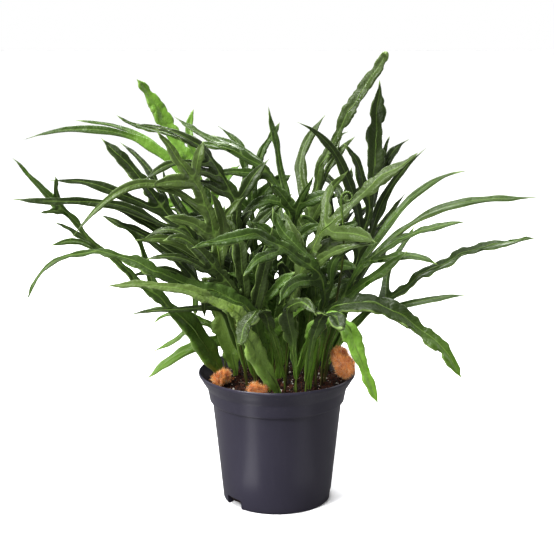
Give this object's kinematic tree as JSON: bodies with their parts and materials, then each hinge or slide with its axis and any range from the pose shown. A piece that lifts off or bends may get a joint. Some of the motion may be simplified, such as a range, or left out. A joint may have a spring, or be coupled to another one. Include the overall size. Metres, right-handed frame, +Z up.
{
  "type": "potted fern",
  "caption": "Leafy house fern with long lobed strap fronds on furry rhizomes, in soil, in a plain round nursery pot that stands on its foot ring.",
  "frame": {"origin": "middle of the foot, on the surface that the pot stands on", "axes": "+Z up along the pot's axis, -Y towards the front of the plant, X along the widest spread of the fronds"},
  "size_m": [0.496, 0.32, 0.431],
  "materials": {
    "pot_plastic": "satin",
    "soil": "matte",
    "rhizome_fur": "matte",
    "leaf_dark": "satin",
    "leaf_mid": "satin",
    "leaf_bright": "satin",
    "leaf_olive": "satin"
  },
  "bodies": {
    "root": {"pot": "pot_plastic", "soil": "soil", "rhizome_left": "rhizome_fur", "rhizome_right": "rhizome_fur", "rhizome_front": "rhizome_fur", "young_frond": "leaf_olive", "frond_long_left": "leaf_mid", "frond_broad_left": "leaf_mid", "frond_front_left": "leaf_mid", "frond_strap_right": "leaf_dark", "frond_bright_front": "leaf_bright", "frond_tall_olive": "leaf_olive", "frond_pale_rib": "leaf_dark", "frond_diagonal": "leaf_olive", "frond_right_fan": "leaf_mid", "frond_lower_right": "leaf_mid", "frond_mid_left": "leaf_dark", "frond_grey_left": "leaf_olive", "frond_dark_left": "leaf_dark", "frond_arched": "leaf_mid", "frond_bright_back_left": "leaf_bright", "frond_centre": "leaf_mid", "frond_centre_left": "leaf_olive", "frond_low_dark": "leaf_dark", "frond_low_back_left": "leaf_dark", "frond_thin_upright": "leaf_mid", "frond_low_centre": "leaf_olive", "frond_front_olive": "leaf_olive", "frond_front_dark": "leaf_dark", "frond_inner_left": "leaf_dark", "frond_inner_right": "leaf_mid", "frond_inner_front": "leaf_bright", "frond_base_left": "leaf_dark", "frond_base_centre": "leaf_dark", "frond_base_right": "leaf_mid", "frond_base_far_right": "leaf_dark", "frond_base_back": "leaf_dark", "frond_mid_centre": "leaf_mid", "frond_mid_right": "leaf_dark", "frond_mid_back_left": "leaf_mid", "frond_back_centre": "leaf_mid", "frond_back_left": "leaf_bright", "frond_back_right": "leaf_dark", "frond_far_right": "leaf_mid", "frond_far_left": "leaf_dark"}
  },
  "joints": []
}
